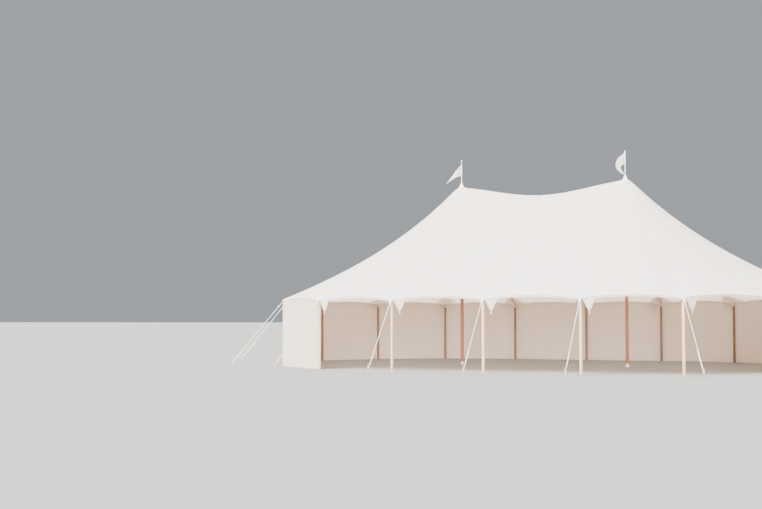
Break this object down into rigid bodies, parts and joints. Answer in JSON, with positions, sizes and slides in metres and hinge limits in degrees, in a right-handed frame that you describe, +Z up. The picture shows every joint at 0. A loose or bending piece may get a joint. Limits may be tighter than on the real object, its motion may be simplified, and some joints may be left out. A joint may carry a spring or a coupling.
{
  "type": "sailcloth pole tent",
  "caption": "White cloth marquee held up by two tall timber poles and a ring of side poles with guy ropes, open along the front, walled round the back and ends, with a pennant on each peak",
  "frame": {"origin": "on the ground, at the middle of the tent's plan", "axes": "+X along the ridge, -Y out of the open front, +Z up"},
  "size_m": [22.7398, 17.066, 7.603],
  "materials": {
    "sailcloth": "matt woven cloth",
    "wall_cloth": "matt woven cloth",
    "pale_timber": "planed, oiled",
    "king_timber": "planed, varnished",
    "white_rope": "laid rope",
    "white_cap": "coated cloth"
  },
  "bodies": {
    "root": {"canopy_middle": "sailcloth", "canopy_right_end": "sailcloth", "canopy_left_end": "sailcloth", "wall_right_end": "wall_cloth", "wall_back": "wall_cloth", "wall_left_end": "wall_cloth", "side_pole_01": "pale_timber", "guy_rope_01": "white_rope", "side_pole_02": "pale_timber", "guy_rope_02": "white_rope", "side_pole_03": "pale_timber", "guy_rope_03": "white_rope", "side_pole_04": "pale_timber", "guy_rope_04": "white_rope", "side_pole_05": "pale_timber", "guy_rope_05": "white_rope", "side_pole_06": "pale_timber", "guy_rope_06": "white_rope", "side_pole_07": "pale_timber", "guy_rope_07": "white_rope", "side_pole_08": "pale_timber", "guy_rope_08": "white_rope", "side_pole_09": "pale_timber", "guy_rope_09": "white_rope", "side_pole_10": "pale_timber", "guy_rope_10": "white_rope", "side_pole_11": "pale_timber", "guy_rope_11": "white_rope", "side_pole_12": "pale_timber", "guy_rope_12": "white_rope", "side_pole_13": "pale_timber", "guy_rope_13": "white_rope", "side_pole_14": "pale_timber", "guy_rope_14": "white_rope", "side_pole_15": "pale_timber", "guy_rope_15": "white_rope", "side_pole_16": "pale_timber", "guy_rope_16": "white_rope", "side_pole_17": "pale_timber", "guy_rope_17": "white_rope", "side_pole_18": "pale_timber", "guy_rope_18": "white_rope", "king_pole_left": "king_timber", "peak_cap_left": "white_cap", "flagstaff_left": "pale_timber", "pennant_left": "sailcloth", "king_pole_right": "king_timber", "peak_cap_right": "white_cap", "flagstaff_right": "pale_timber", "pennant_right": "sailcloth"}
  },
  "joints": []
}
